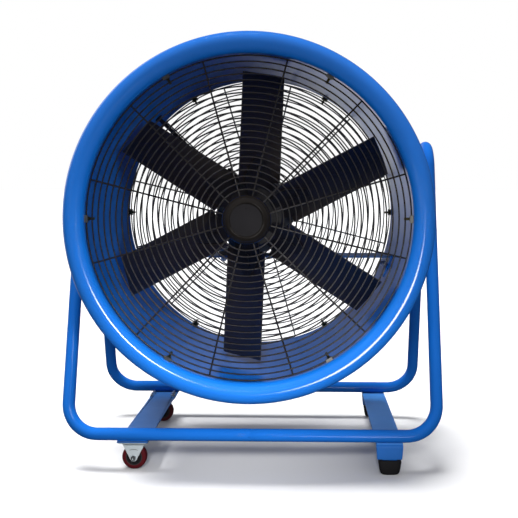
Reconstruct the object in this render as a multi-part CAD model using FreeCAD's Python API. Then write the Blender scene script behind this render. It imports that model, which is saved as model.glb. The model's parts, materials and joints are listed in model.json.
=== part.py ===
import FreeCAD, Part
import math
import os
from FreeCAD import Vector as V

# Portable drum fan on a tube stand.  Millimetres, +Z up, the fan blows
# towards -Y, +X is the right-hand side seen from the front.
# Origin: centre of the outer box, on the floor.

# ---------------------------------------------------------------- dimensions
YS = 63.0            # plane of the stand's apexes and of the tilt pivot
BAR_HALF = 205.0     # bar centre to stand plane, front and rear
BAR_Z = 75.0         # height of the bottom bars
LEG_X = 374.0        # plane of the side arches
TUBE_R = 12.7        # 25.4 mm tube
TUBE_RI = 11.2
CORNER_R = 62.0      # bend between a bar and a leg
APEX_R = 60.0        # bend at the top of an arch
APEX_Z = 602.0       # centre of that bend

AXIS_Z = 514.0       # fan axis, also the height of the tilt pivot
DRUM_RI = 312.0
DRUM_RO = 313.5
LIP_C = 20.0         # rolled lip, radius to mid sheet
LIP_T = 1.5
LIP_END = 42.0       # degrees the lip curls past its widest circle
Y_LIP_F = -227.0     # widest circle of the front lip
Y_LIP_R = 193.0
COLLAR = 30.0        # straight collar of each lip ring
LIP_RC = DRUM_RI + LIP_C + LIP_T / 2.0

GR_R = 308.5         # outer ring of a grille
GR_WIRE = 1.5        # ring wire radius
GR_SPOKE = 1.7       # radial wire radius
GR_PITCH = 12.0
GR_RINGS = 22
GR_SAG = 44.0        # dome height
GR_SPOKES = 12
GR_SPOKE0 = 16.0     # angle of the first radial wire
Y_GR = -226.0        # outer ring of the front grille
CAP_Y = -283.0       # front of the centre cap

Y_IMP = -72.0        # plane of the impeller's hub disc
TIP_R = 295.0
BLADE_N = 6
BLADE_A0 = 27.5
BLADE_OFF = -11.0    # blade centre line beside the radius
BLADE_CHORD = 104.0
BLADE_CAMBER = 9.0
BLADE_PITCH = 38.0
BLADE_T = 2.2
BLADE_R0 = 70.0
ARM_T = 3.5
HUB_R = 64.0

MOT_R = 80.0         # motor frame
MOT_RI = 72.0
SHAFT_H = 90.0       # motor shaft above its mounting plate
PLATE_T = 4.0
CABLE_A = 136.0      # direction of the motor cable
CABLE_Y = 88.0

CAS_X = -239.5       # castor plate and castors
CAS_IN = (18.0, 44.0)   # castor axles behind the front bar, before the rear bar
WHEEL_R = 25.0
WHEEL_W = 20.0
FOOT_X = 278.0       # foot bar

os.makedirs("parts", exist_ok=True)

Y_BF = YS - BAR_HALF
Y_BR = YS + BAR_HALF
DY = V(0, 1, 0)
FRONT = V(0, -1, 0)   # turning about this is anticlockwise seen from the front


def cyl(r, h, p, d):
    return Part.makeCylinder(r, h, V(*p), V(*d))


def box(x0, x1, y0, y1, z0, z1):
    return Part.makeBox(x1 - x0, y1 - y0, z1 - z0, V(x0, y0, z0))


def hexa(af, h, p, d):
    """Hexagonal prism with its base centre at p, along d."""
    d = V(*d)
    r = af / math.sqrt(3.0)
    ref = V(0, 0, 1) if abs(d.z) < 0.9 else V(1, 0, 0)
    e1 = d.cross(ref).normalize()
    e2 = d.cross(e1).normalize()
    pts = [V(*p) + e1 * (r * math.cos(math.radians(60 * k))) + e2 * (r * math.sin(math.radians(60 * k))) for k in range(6)]
    return Part.Face(Part.makePolygon(pts + [pts[0]])).extrude(d * h)


def turned(pts, a=360.0):
    """Revolve a polygon of (radius, y) about the fan axis."""
    vs = [V(r, y, AXIS_Z) for r, y in pts]
    f = Part.Face(Part.makePolygon(vs + [vs[0]]))
    return f.revolve(V(0, 0, AXIS_Z), DY, a)


def turn(shape, deg):
    """Copy turned about the fan axis, anticlockwise seen from the front."""
    s = shape.copy()
    s.rotate(V(0, 0, AXIS_Z), FRONT, deg)
    return s


def mirror_y(shape):
    """Copy mirrored from the front end of the drum to the rear end."""
    return shape.mirror(V(0, (Y_LIP_F + Y_LIP_R) / 2.0, 0), DY)


def mirror_x(shape):
    return shape.mirror(V(0, 0, 0), V(1, 0, 0))


def fuse(shapes):
    s = shapes[0]
    if len(shapes) > 1:
        s = s.multiFuse(shapes[1:])
    return s.removeSplitter()


def save(name, shape):
    if isinstance(shape, list):
        solids = []
        for s in shape:
            solids += s.Solids
        out = solids[0] if len(solids) == 1 else Part.makeCompound(solids)
    else:
        solids = shape.Solids
        out = solids[0] if len(solids) == 1 else Part.makeCompound(solids)
    ok = all(s.isValid() and s.isClosed() and s.Volume > 0 for s in solids)
    print("%-22s solids %2d  valid %s  volume %.0f" % (name, len(solids), ok, sum(s.Volume for s in solids)))
    out.exportStep("parts/%s.step" % name)


# ------------------------------------------------------------- stand tubes
dist = math.hypot(BAR_HALF, APEX_Z - BAR_Z)
LEAN = math.atan2(BAR_HALF, APEX_Z - BAR_Z) - math.asin(APEX_R / dist)
SL, CL = math.sin(LEAN), math.cos(LEAN)


def ring_face(c, d, ro, ri):
    o = Part.Wire(Part.Circle(c, d, ro).toShape())
    if ri <= 0:
        return Part.Face(o)
    i = Part.Wire(Part.Circle(c, d, ri).toShape())
    return Part.makeFace([o, i], "Part::FaceMakerBullseye")


def straight(p, q, ro, ri):
    d = q - p
    return ring_face(p, V(d).normalize(), ro, ri).extrude(d)


def bend(p, d1, d2, r, ro, ri):
    """Bend from direction d1 to d2 starting at p; returns solid and end."""
    ax = d1.cross(d2)
    ang = math.degrees(math.atan2(ax.Length, d1.dot(d2)))
    ax.normalize()
    c = p + ax.cross(d1) * r
    s = ring_face(p, d1, ro, ri).revolve(c, ax, ang)
    m = FreeCAD.Rotation(ax, ang)
    return s, c + m.multVec(p - c)


def half_loop(ro, ri):
    """Left half: front bar, leg, apex, leg, rear bar."""
    left = V(-1, 0, 0)
    up_f = V(0, SL, CL)
    down_r = V(0, SL, -CL)
    right = V(1, 0, 0)
    segs = []
    p = V(-0.3, Y_BF, BAR_Z)
    q = V(-(LEG_X - CORNER_R), Y_BF, BAR_Z)
    segs.append(straight(p, q, ro, ri))
    s, p = bend(q, left, up_f, CORNER_R, ro, ri)
    segs.append(s)
    q = V(-LEG_X, YS - APEX_R * CL, APEX_Z + APEX_R * SL)
    segs.append(straight(p, q, ro, ri))
    s, p = bend(q, up_f, down_r, APEX_R, ro, ri)
    segs.append(s)
    q = V(-LEG_X, Y_BR, BAR_Z) - down_r * CORNER_R
    segs.append(straight(p, q, ro, ri))
    s, p = bend(q, down_r, right, CORNER_R, ro, ri)
    segs.append(s)
    segs.append(straight(p, V(-0.3, Y_BR, BAR_Z), ro, ri))
    return fuse(segs)


tube_left = half_loop(TUBE_R, TUBE_RI)
tube_right = mirror_x(tube_left)
save("stand_tube_left", tube_left)
save("stand_tube_right", tube_right)

sleeves = []
for yb in (Y_BF, Y_BR):
    sleeves.append(straight(V(-45, yb, BAR_Z), V(45, yb, BAR_Z), TUBE_RI, TUBE_RI - 2.0))
save("tube_sleeves", sleeves)

# ------------------------------------------------------------- pivot plates
plate = box(-LEG_X - 2.5, -LEG_X + 2.5, YS - 110, YS + 110, AXIS_Z - 20, AXIS_Z + 20)
for sgn in (-1, 1):
    p0 = V(-LEG_X, YS + sgn * BAR_HALF, BAR_Z)
    d = V(0, -sgn * SL, CL)
    leg = Part.makeCylinder(TUBE_R, 700, p0, d)
    plate = plate.cut(leg)
mid = [s for s in plate.Solids if abs(s.CenterOfMass.y - YS) < 20][0]
mid = mid.cut(cyl(6.05, 20, (-LEG_X - 10, YS, AXIS_Z), (1, 0, 0)))
save("pivot_plate_left", mid)
save("pivot_plate_right", mirror_x(mid))

# ---------------------------------------------------- castor plate and castors
P_TOP = BAR_Z - TUBE_R
P_T = 3.0
cp = [box(CAS_X - 30, CAS_X + 30, Y_BF - 10, Y_BR + 10, P_TOP - P_T, P_TOP)]
for y0, y1 in ((Y_BF - 10, Y_BF + 58), (Y_BR - 58, Y_BR + 10)):
    cp.append(box(CAS_X - 31.5, CAS_X + 31.5, y0, y1, P_TOP - P_T, P_TOP))
cplate = fuse(cp)
cas_y = (Y_BF + CAS_IN[0], Y_BR - CAS_IN[1])
studs = []
for cy, rows in zip(cas_y, ((1.0, 17.0), (-11.0, 11.0))):
    for sx in (-24.5, 24.5):
        for sy in rows:
            studs.append((CAS_X + sx, cy + sy))
for x, y in studs:
    cplate = cplate.cut(cyl(3.0, 20, (x, y, P_TOP - 12), (0, 0, 1)))
save("castor_plate", cplate)

F_TOP = P_TOP - P_T
bolts = []
for x, y in studs:
    st = cyl(3.0, 15.0, (x, y, F_TOP - 2.5), (0, 0, 1))
    nut = hexa(10.0, 5.0, (x, y, P_TOP), (0, 0, 1))
    bolts.append(fuse([st, nut]))
save("castor_studs", bolts)


def fork(cy):
    top = box(CAS_X - 30, CAS_X + 30, cy - 25, cy + 25, F_TOP - 2.5, F_TOP)
    top = top.makeFillet(6.0, [e for e in top.Edges if abs(e.Vertexes[0].Z - e.Vertexes[-1].Z) > 1.0])
    parts = [top]
    for y0 in (cy - 14.5, cy + 12.0):
        pts = [V(CAS_X - 24.5, y0, F_TOP - 2.5), V(CAS_X + 24.5, y0, F_TOP - 2.5),
               V(CAS_X + 6.6, y0, WHEEL_R - 3.0), V(CAS_X - 6.6, y0, WHEEL_R - 3.0)]
        side = Part.Face(Part.makePolygon(pts + [pts[0]])).extrude(V(0, 2.5, 0))
        eye = cyl(7.3, 2.5, (CAS_X, y0, WHEEL_R), (0, 1, 0))
        parts.append(side.fuse(eye))
    f = fuse(parts)
    f = f.cut(cyl(4.0, 60, (CAS_X, cy - 30, WHEEL_R), (0, 1, 0)))
    for x, y in studs:
        f = f.cut(cyl(3.0, 20, (x, y, P_TOP - 12), (0, 0, 1)))
    return f


axles = []
for name, cy in (("front", cas_y[0]), ("rear", cas_y[1])):
    save("castor_fork_" + name, fork(cy))
    shank = cyl(4.0, 35.5, (CAS_X, cy - 14.5, WHEEL_R), (0, 1, 0))
    head = cyl(5.2, 2.6, (CAS_X, cy - 17.1, WHEEL_R), (0, 1, 0)).cut(cyl(2.6, 1.6, (CAS_X, cy - 17.1, WHEEL_R), (0, 1, 0)))
    nut = hexa(11.0, 5.0, (CAS_X, cy + 14.5, WHEEL_R), (0, 1, 0))
    axles.append(fuse([shank, head, nut]))
    hw = WHEEL_W / 2.0

    def wheel_turn(pts):
        vs = [V(CAS_X + r, cy + y, WHEEL_R) for r, y in pts]
        return Part.Face(Part.makePolygon(vs + [vs[0]])).revolve(V(CAS_X, cy, WHEEL_R), DY, 360)

    core = wheel_turn([(4.05, -11.7), (8.0, -11.7), (8.0, -8.0), (13.0, -8.0), (13.0, -hw), (16.2, -hw),
                       (16.2, hw), (13.0, hw), (13.0, 8.0), (8.0, 8.0), (8.0, 11.7), (4.05, 11.7)])
    tread = wheel_turn([(16.2, -hw), (23.0, -hw), (WHEEL_R, -hw + 2.5), (WHEEL_R, hw - 2.5), (23.0, hw), (16.2, hw)])
    save("wheel_core_" + name, core)
    save("wheel_tread_" + name, tread)
save("castor_axles", axles)

# --------------------------------------------------------- foot bar and boots
B_T = 5.0
yo0, yo1 = Y_BF - 7.0, Y_BR + 7.0
zb = P_TOP - B_T
pts = [(yo0, 8), (yo0, P_TOP), (yo1, P_TOP), (yo1, 8), (yo1 - B_T, 8), (yo1 - B_T, zb), (yo0 + B_T, zb), (yo0 + B_T, 8)]
vs = [V(FOOT_X - 27, y, z) for y, z in pts]
bar = Part.Face(Part.makePolygon(vs + [vs[0]])).extrude(V(54, 0, 0))


def corner_edges(shape, y, z):
    out = []
    for e in shape.Edges:
        a, b = e.Vertexes[0].Point, e.Vertexes[-1].Point
        if abs(a.x - b.x) > 40 and abs(a.y - y) < 0.01 and abs(a.z - z) < 0.01 and abs(b.y - y) < 0.01 and abs(b.z - z) < 0.01:
            out.append(e)
    return out


bar = bar.makeFillet(9.0, corner_edges(bar, yo0, P_TOP) + corner_edges(bar, yo1, P_TOP))
bar = bar.makeFillet(4.0, corner_edges(bar, yo0 + B_T, zb) + corner_edges(bar, yo1 - B_T, zb))
# each end is shouldered to a tongue that the rubber boot is pushed on to
for ye in (yo0 - 1.0, yo1 - B_T - 1.0):
    for x0, x1 in ((FOOT_X - 30, FOOT_X - 14), (FOOT_X + 14, FOOT_X + 30)):
        bar = bar.cut(box(x0, x1, ye, ye + B_T + 2.0, 0, 29.4))
    for sx in (-1.0, 1.0):
        tv = [V(FOOT_X + sx * a, ye, z) for a, z in ((24.8, 29.0), (27.0, 53.0), (30.0, 53.0), (30.0, 29.0))]
        bar = bar.cut(Part.Face(Part.makePolygon(tv + [tv[0]])).extrude(V(0, B_T + 2.0, 0)))
save("foot_bar", bar)


def boot(yc):
    a, b, r = 23.4, 19.5, 8.0
    y0 = yc - 9.5
    vs = [V(FOOT_X - a, y0, 29.3), V(FOOT_X + a, y0, 29.3), V(FOOT_X + b, y0, 0), V(FOOT_X - b, y0, 0)]
    s = Part.Face(Part.makePolygon(vs + [vs[0]])).extrude(V(0, 19, 0))
    low = [e for e in s.Edges if abs(e.Vertexes[0].Z) < 0.01 and abs(e.Vertexes[-1].Z) < 0.01
           and abs(e.Vertexes[0].X - e.Vertexes[-1].X) < 0.01]
    s = s.makeFillet(r, low)
    tops = [e for e in s.Edges if min(v.Z for v in e.Vertexes) > 29.2]
    s = s.makeFillet(1.2, tops)
    return s.cut(bar)


save("rubber_foot_front", boot(yo0 + B_T / 2.0))
save("rubber_foot_rear", boot(yo1 - B_T / 2.0))

# --------------------------------------------------------------- drum and lips
def lip_ring():
    """Front ring: straight collar, then sheet rolled outwards."""
    ro, ri = LIP_C + LIP_T / 2.0, LIP_C - LIP_T / 2.0

    def pt(r, deg):
        # 180 points to the fan axis, 90 to the front, 0 outwards
        a = math.radians(deg)
        return V(LIP_RC + r * math.cos(a), Y_LIP_F - r * math.sin(a), AXIS_Z)

    yj = Y_LIP_F + COLLAR
    p1, p2 = V(DRUM_RI, yj, AXIS_Z), V(DRUM_RO, yj, AXIS_Z)
    e = [Part.LineSegment(p1, pt(ro, 180)).toShape(),
         Part.Arc(pt(ro, 180), pt(ro, 70), pt(ro, -LIP_END)).toShape(),
         Part.LineSegment(pt(ro, -LIP_END), pt(ri, -LIP_END)).toShape(),
         Part.Arc(pt(ri, -LIP_END), pt(ri, 70), pt(ri, 180)).toShape(),
         Part.LineSegment(pt(ri, 180), p2).toShape(),
         Part.LineSegment(p2, p1).toShape()]
    f = Part.Face(Part.Wire(e))
    return f.revolve(V(0, 0, AXIS_Z), DY, 360)


def radial(shape, deg):
    """Turn a shape made along +X from the axis to the angle deg."""
    return turn(shape, deg)


lip_f = lip_ring()
lip_r = mirror_y(lip_f)
drum = turned([(DRUM_RI, Y_LIP_F + COLLAR), (DRUM_RO, Y_LIP_F + COLLAR), (DRUM_RO, Y_LIP_R - COLLAR), (DRUM_RI, Y_LIP_R - COLLAR)])

CLIP_A = [60.0 * k for k in range(6)]
Y_SCREW = Y_GR + 13.0
holes_f = [radial(cyl(2.5, 40, (290, Y_SCREW, AXIS_Z), (1, 0, 0)), a) for a in CLIP_A]
holes_r = [mirror_y(h) for h in holes_f]
lip_f = lip_f.cut(Part.makeCompound(holes_f))
lip_r = lip_r.cut(Part.makeCompound(holes_r))
PAD_A = -21.5
PAD_Y = (35.0, 85.0)
pad_holes = []
for a in (PAD_A, 180.0 - PAD_A):
    for y in PAD_Y:
        pad_holes.append(radial(cyl(4.0, 60, (280, y, AXIS_Z), (1, 0, 0)), a))
cable_hole = radial(cyl(6.5, 60, (290, CABLE_Y, AXIS_Z), (1, 0, 0)), CABLE_A)
drum = drum.cut(Part.makeCompound(pad_holes)).cut(cable_hole)
save("drum_shell", drum)
save("front_bell_ring", lip_f)
save("rear_bell_ring", lip_r)

# -------------------------------------------------------------------- grilles
R_DOME = (GR_R ** 2 + GR_SAG ** 2) / (2.0 * GR_SAG)
Y_APEX = Y_GR - GR_SAG
Y_CEN = Y_APEX + R_DOME


def dome_y(r, rad=R_DOME):
    return Y_CEN - math.sqrt(rad * rad - r * r)


wires = []
for k in range(GR_RINGS):
    r = GR_R - GR_PITCH * k
    wires.append(Part.makeTorus(r, GR_WIRE, V(0, dome_y(r), AXIS_Z), DY))
rs = R_DOME - GR_WIRE - GR_SPOKE + 0.25
SP_IN = 24.0
a0, a1 = math.degrees(math.asin(SP_IN / rs)), math.degrees(math.asin((GR_R + 0.4) / rs))
c0 = V(SP_IN, Y_CEN - math.sqrt(rs * rs - SP_IN ** 2), AXIS_Z)
d0 = V(math.cos(math.radians(a0)), math.sin(math.radians(a0)), 0)
spoke = Part.Face(Part.Wire(Part.Circle(c0, d0, GR_SPOKE).toShape())).revolve(V(0, Y_CEN, AXIS_Z), V(0, 0, 1), a1 - a0)
spokes = [turn(spoke, GR_SPOKE0 + 360.0 / GR_SPOKES * k) for k in range(GR_SPOKES)]
Y_PL = dome_y(SP_IN, rs) + GR_SPOKE + 0.35
gplate = turned([(0, Y_PL), (43.0, Y_PL), (43.0, Y_PL + 2.0), (0, Y_PL + 2.0)])
front_grille = wires + spokes + [gplate]
save("front_grille", front_grille)
save("rear_grille", [mirror_y(w) for w in front_grille])

# centre cap of the front grille, standing on the radial wires
Y_RIM = dome_y(45.0, rs) - GR_SPOKE - 0.1
cap = turned([(0, CAP_Y + 3.0), (29.5, CAP_Y + 3.0), (31.0, CAP_Y), (34.0, CAP_Y), (43.5, Y_RIM - 5.0), (46.0, Y_RIM),
              (43.8, Y_RIM), (41.8, Y_RIM - 4.0), (33.4, CAP_Y + 2.2), (31.8, CAP_Y + 2.2), (30.3, CAP_Y + 5.0), (0, CAP_Y + 5.0)])
post = turned([(0, CAP_Y + 4.5), (6.0, CAP_Y + 4.5), (6.0, Y_PL), (0, Y_PL)])
save("grille_cap", cap.fuse(post).removeSplitter())
# wire clips and their screws, made at angle 0 along +X
Z0, Z1 = AXIS_Z - 7.0, AXIS_Z + 7.0
yw = Y_GR
clip = fuse([box(310.45, 311.9, yw - 3.6, yw + 20.0, Z0, Z1),
             box(305.4, 311.9, yw - 3.6, yw - 1.95, Z0, Z1),
             box(305.4, 306.55, yw - 3.6, yw + 1.5, Z0, Z1)])
clip = clip.cut(cyl(2.5, 40, (290, Y_SCREW, AXIS_Z), (1, 0, 0)))
screw = fuse([cyl(2.5, 18.0, (296.0, Y_SCREW, AXIS_Z), (1, 0, 0)),
              cyl(5.0, 3.0, (313.6, Y_SCREW, AXIS_Z), (1, 0, 0)),
              hexa(8.0, 4.0, (306.2, Y_SCREW, AXIS_Z), (1, 0, 0))])
clips = [radial(clip, a) for a in CLIP_A]
screws = [radial(screw, a) for a in CLIP_A]
save("front_grille_clips", clips)
save("rear_grille_clips", [mirror_y(c) for c in clips])
save("grille_screws", screws + [mirror_y(s) for s in screws])

# ------------------------------------------------------------- motor and plate
Z_PL = AXIS_Z - SHAFT_H
PY0, PY1 = 15.0, 105.0
mplate = box(-320, 320, PY0, PY1, Z_PL - PLATE_T, Z_PL)
mplate = mplate.common(Part.makeCylinder(DRUM_RI - 3.0, PY1 - PY0, V(0, PY0, AXIS_Z), DY))
foot_pts = [(sx * 71.0, y) for sx in (-1, 1) for y in (38.0, 82.0)]
for x, y in foot_pts:
    mplate = mplate.cut(cyl(4.0, 40, (x, y, Z_PL - 20), (0, 0, 1)))
save("motor_plate", mplate)


def shell_seg(r0, r1, y0, y1, a0, a1):
    vs = [V(r0, y0, AXIS_Z), V(r1, y0, AXIS_Z), V(r1, y1, AXIS_Z), V(r0, y1, AXIS_Z)]
    f = Part.Face(Part.makePolygon(vs + [vs[0]]))
    f.rotate(V(0, 0, AXIS_Z), FRONT, a0)
    return f.revolve(V(0, 0, AXIS_Z), FRONT, a1 - a0)


pads = [shell_seg(DRUM_RI - 3.0, DRUM_RI, 24, 96, -26.0, -16.7), shell_seg(DRUM_RI - 3.0, DRUM_RI, 24, 96, 196.7, 206.0)]
pads = [p.cut(Part.makeCompound(pad_holes)) for p in pads]
save("motor_plate_pads", pads)
pb = []
for a in (PAD_A, 180.0 - PAD_A):
    for y in PAD_Y:
        b = fuse([cyl(4.0, 17.0, (299.0, y, AXIS_Z), (1, 0, 0)),
                  hexa(13.0, 5.3, (DRUM_RO + 0.05, y, AXIS_Z), (1, 0, 0)),
                  hexa(13.0, 6.5, (302.4, y, AXIS_Z), (1, 0, 0))])
        pb.append(radial(b, a))
save("motor_plate_bolts", pb)

MY0, MY1 = -20.0, 120.0
frame_t = turned([(MOT_RI, MY0), (MOT_R, MY0), (MOT_R, MY1), (MOT_RI, MY1)])
fins = []
for k in range(36):
    a = 10.0 * k
    if 200 < a < 340 or 105 < a < 165:
        continue
    fins.append(radial(box(MOT_R - 1.0, MOT_R + 5.0, MY0 + 6, MY1 - 14, AXIS_Z - 1.0, AXIS_Z + 1.0), a))
mframe = fuse([frame_t] + fins)
lead_hole = radial(cyl(5.5, 40, (60, CABLE_Y, AXIS_Z), (1, 0, 0)), CABLE_A)
mframe = mframe.cut(lead_hole)
save("motor_frame", mframe)
save("motor_front_shield", turned([(13.5, -40), (34, -40), (66, -32), (80, -26), (80, MY0), (26, MY0), (26, -38), (13.5, -38)]))
save("motor_rear_shield", turned([(26, MY1), (80, MY1), (80, 132), (34, 136.5), (13.5, 136.5), (13.5, 134), (26, 134)]))
BRG = []
for y in (-38.0, 119.0):
    BRG.append(turned([(12.55, y), (26.0, y), (26.0, y + 15.0), (12.55, y + 15.0)]))
save("motor_bearings", BRG)
save("motor_stator", turned([(42.4, 5), (72.0, 5), (72.0, 95), (42.4, 95)]))
save("motor_windings", [turned([(46, -10), (68, -10), (68, 5), (46, 5)]), turned([(46, 95), (68, 95), (68, 110), (46, 110)])])
feet = []
for sx in (-1, 1):
    x0, x1 = (38, 60) if sx > 0 else (-60, -38)
    f0, f1 = (60, 82) if sx > 0 else (-82, -60)
    b = fuse([box(x0, x1, 25, 95, Z_PL, AXIS_Z - 40), box(f0, f1, 25, 95, Z_PL, Z_PL + 9.0)])
    b = b.cut(Part.makeCylinder(MOT_R, 120, V(0, 0, AXIS_Z), DY))
    for x, y in foot_pts:
        b = b.cut(cyl(4.0, 40, (x, y, Z_PL - 20), (0, 0, 1)))
    feet.append(b)
save("motor_feet", feet)
fb = []
for x, y in foot_pts:
    fb.append(fuse([cyl(4.0, 9.0 + PLATE_T + 10.0, (x, y, Z_PL - PLATE_T - 10.0), (0, 0, 1)),
                    hexa(13.0, 5.3, (x, y, Z_PL + 9.0), (0, 0, 1)),
                    hexa(13.0, 6.5, (x, y, Z_PL - PLATE_T - 6.5), (0, 0, 1))]))
save("motor_foot_bolts", fb)

cowl = turned([(80.0, 112), (82.0, 112), (82.0, 174), (78.0, 178), (10.0, 178), (10.0, 176), (77.2, 176), (80.0, 173.2)])
slots = []
for k in range(16):
    slots.append(turn(box(24, 62, 170, 184, AXIS_Z - 3.0, AXIS_Z + 3.0), 22.5 * k))
cowl = cowl.cut(Part.makeCompound(slots))
save("fan_cowl", cowl)

# terminal box on the motor, made pointing up, then turned to the cable angle
UP = CABLE_A - 90.0
TY0, TY1 = 41.0, 110.0
tb = box(-32, 32, TY0, TY1, AXIS_Z + 60, AXIS_Z + 112)
tb = tb.cut(Part.makeCylinder(MOT_R + 0.05, 200, V(0, 0, AXIS_Z), DY))
tb = tb.cut(box(-29.5, 29.5, TY0 + 2.5, TY1 - 2.5, AXIS_Z + 84, AXIS_Z + 112))
tb = tb.cut(cyl(5.5, 40, (0, CABLE_Y, AXIS_Z + 60), (0, 0, 1)))
save("terminal_box", turn(tb, UP))
tl = box(-32, 32, TY0, TY1, AXIS_Z + 112, AXIS_Z + 115).cut(cyl(4.5, 20, (0, CABLE_Y, AXIS_Z + 105), (0, 0, 1)))
save("terminal_box_lid", turn(tl, UP))

# switch box on the outside of the drum, same direction
SY0, SY1 = CABLE_Y - 40.0, CABLE_Y + 40.0
sb = box(-40, 40, SY0, SY1, AXIS_Z + 300, AXIS_Z + 358)
sb = sb.cut(Part.makeCylinder(DRUM_RO, 200, V(0, 0, AXIS_Z), DY))
sb = sb.cut(box(-37.5, 37.5, SY0 + 2.5, SY1 - 2.5, AXIS_Z + 318, AXIS_Z + 358))
sb = sb.cut(cyl(6.5, 40, (0, CABLE_Y, AXIS_Z + 290), (0, 0, 1)))
GL_Z = AXIS_Z + 338.0
sb = sb.cut(cyl(8.0, 10, (-45, CABLE_Y, GL_Z), (1, 0, 0)))
save("switch_box", turn(sb, UP))
KX, KY = 15.0, 78.0
sl = box(-40, 40, SY0, SY1, AXIS_Z + 358, AXIS_Z + 361).cut(cyl(3.07, 20, (KX, KY, AXIS_Z + 350), (0, 0, 1)))
save("switch_box_lid", turn(sl, UP))
rot = box(KX - 13, KX + 13, KY - 13, KY + 13, AXIS_Z + 332, AXIS_Z + 358).cut(cyl(3.07, 20, (KX, KY, AXIS_Z + 344), (0, 0, 1)))
save("rotary_switch", turn(rot, UP))
cap_run = cyl(13.0, 60, (-19.5, 58, AXIS_Z + 336), (0, 1, 0))
save("run_capacitor", turn(cap_run, UP))
knob = fuse([cyl(17.0, 5.0, (KX, KY, AXIS_Z + 361.4), (0, 0, 1)),
             cyl(14.0, 11.0, (KX, KY, AXIS_Z + 366.4), (0, 0, 1)),
             box(KX - 3.5, KX + 3.5, KY - 16.0, KY + 16.0, AXIS_Z + 366.4, AXIS_Z + 380.0),
             cyl(3.0, 17.0, (KX, KY, AXIS_Z + 344.6), (0, 0, 1))])
save("switch_knob", turn(knob, UP))

# cable between the two boxes, its gland and grommet, and the mains inlet gland
gl = fuse([hexa(19.0, 8.0, (0, CABLE_Y, AXIS_Z + 115), (0, 0, 1)), cyl(8.5, 14.0, (0, CABLE_Y, AXIS_Z + 123), (0, 0, 1))])
gl = gl.cut(cyl(4.5, 60, (0, CABLE_Y, AXIS_Z + 100), (0, 0, 1)))
inlet = fuse([cyl(8.0, 4.5, (-35.5, CABLE_Y, GL_Z), (-1, 0, 0)), hexa(20.0, 8.0, (-40, CABLE_Y, GL_Z), (-1, 0, 0)),
              cyl(9.0, 14.0, (-48, CABLE_Y, GL_Z), (-1, 0, 0))])
inlet = inlet.cut(cyl(4.5, 60, (-20, CABLE_Y, GL_Z), (-1, 0, 0)))
save("cable_gland", turn(gl, UP))
save("mains_inlet_gland", turn(inlet, UP))
save("motor_cable", turn(cyl(4.5, 222.0, (0, CABLE_Y, AXIS_Z + 102), (0, 0, 1)), UP))
gr = fuse([cyl(9.5, 2.0, (0, CABLE_Y, AXIS_Z + 309.6), (0, 0, 1)), cyl(6.5, 9.0, (0, CABLE_Y, AXIS_Z + 311.0), (0, 0, 1))])
gr = gr.cut(cyl(4.5, 60, (0, CABLE_Y, AXIS_Z + 290), (0, 0, 1)))
save("cable_grommet", turn(gr, UP))

# ------------------------------------------------------------- tilt pivots
X_BF = LEG_X - 4.7    # outer face of a boss
boss = Part.makeCylinder(16.0, X_BF - 290.0, V(290, YS, AXIS_Z), V(1, 0, 0))
boss = boss.cut(Part.makeCylinder(DRUM_RO, 200, V(0, YS - 100, AXIS_Z), DY))
saddle = shell_seg(DRUM_RO, DRUM_RO + 3.0, YS - 42, YS + 42, -8.0, 8.0)
boss = fuse([boss, saddle]).cut(cyl(6.0, 60, (330, YS, AXIS_Z), (1, 0, 0)))
save("pivot_boss_right", boss)
save("pivot_boss_left", mirror_x(boss))
pbolt = fuse([cyl(6.0, LEG_X + 4.6 - 330.0, (330.0, YS, AXIS_Z), (1, 0, 0)),
              hexa(19.0, 7.5, (LEG_X + 4.6, YS, AXIS_Z), (1, 0, 0))])
save("pivot_bolts", [pbolt, mirror_x(pbolt)])
w1 = Part.makeCylinder(15.0, 2.1, V(X_BF, YS, AXIS_Z), V(1, 0, 0)).cut(cyl(6.0, 20, (X_BF - 5, YS, AXIS_Z), (1, 0, 0)))
w2 = Part.makeCylinder(12.0, 2.0, V(LEG_X + 2.6, YS, AXIS_Z), V(1, 0, 0)).cut(cyl(6.0, 20, (LEG_X - 5, YS, AXIS_Z), (1, 0, 0)))
save("pivot_washers", [w1, w2, mirror_x(w1), mirror_x(w2)])

# ------------------------------------------------------------------ impeller
b = math.radians(BLADE_PITCH)
CD = (math.cos(b), math.sin(b))          # along the chord, (tangent, forward)
ND = (-math.sin(b), math.cos(b))         # towards the front
RC = ((BLADE_CHORD / 2.0) ** 2 + BLADE_CAMBER ** 2) / (2.0 * BLADE_CAMBER)
UM = BLADE_OFF + BLADE_CAMBER * math.sin(b)
WM = ARM_T / 2.0 - math.cos(b) * (BLADE_T / 2.0 + ARM_T / 2.0)


def uv(u, w, z):
    return V(-u, Y_IMP - w, z)


def arc_pt(r, phi, z):
    cu, cw = UM + ND[0] * RC, WM + ND[1] * RC
    s, c = math.sin(phi), math.cos(phi)
    return uv(cu + r * (-ND[0] * c + CD[0] * s), cw + r * (-ND[1] * c + CD[1] * s), z)


def sector(r0, r1, half, z0, z1):
    p = math.asin(half / RC)
    e = [Part.Arc(arc_pt(r0, -p, z0), arc_pt(r0, 0, z0), arc_pt(r0, p, z0)).toShape(),
         Part.LineSegment(arc_pt(r0, p, z0), arc_pt(r1, p, z0)).toShape(),
         Part.Arc(arc_pt(r1, p, z0), arc_pt(r1, 0, z0), arc_pt(r1, -p, z0)).toShape(),
         Part.LineSegment(arc_pt(r1, -p, z0), arc_pt(r0, -p, z0)).toShape()]
    return Part.Face(Part.Wire(e)).extrude(V(0, 0, z1 - z0))


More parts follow.
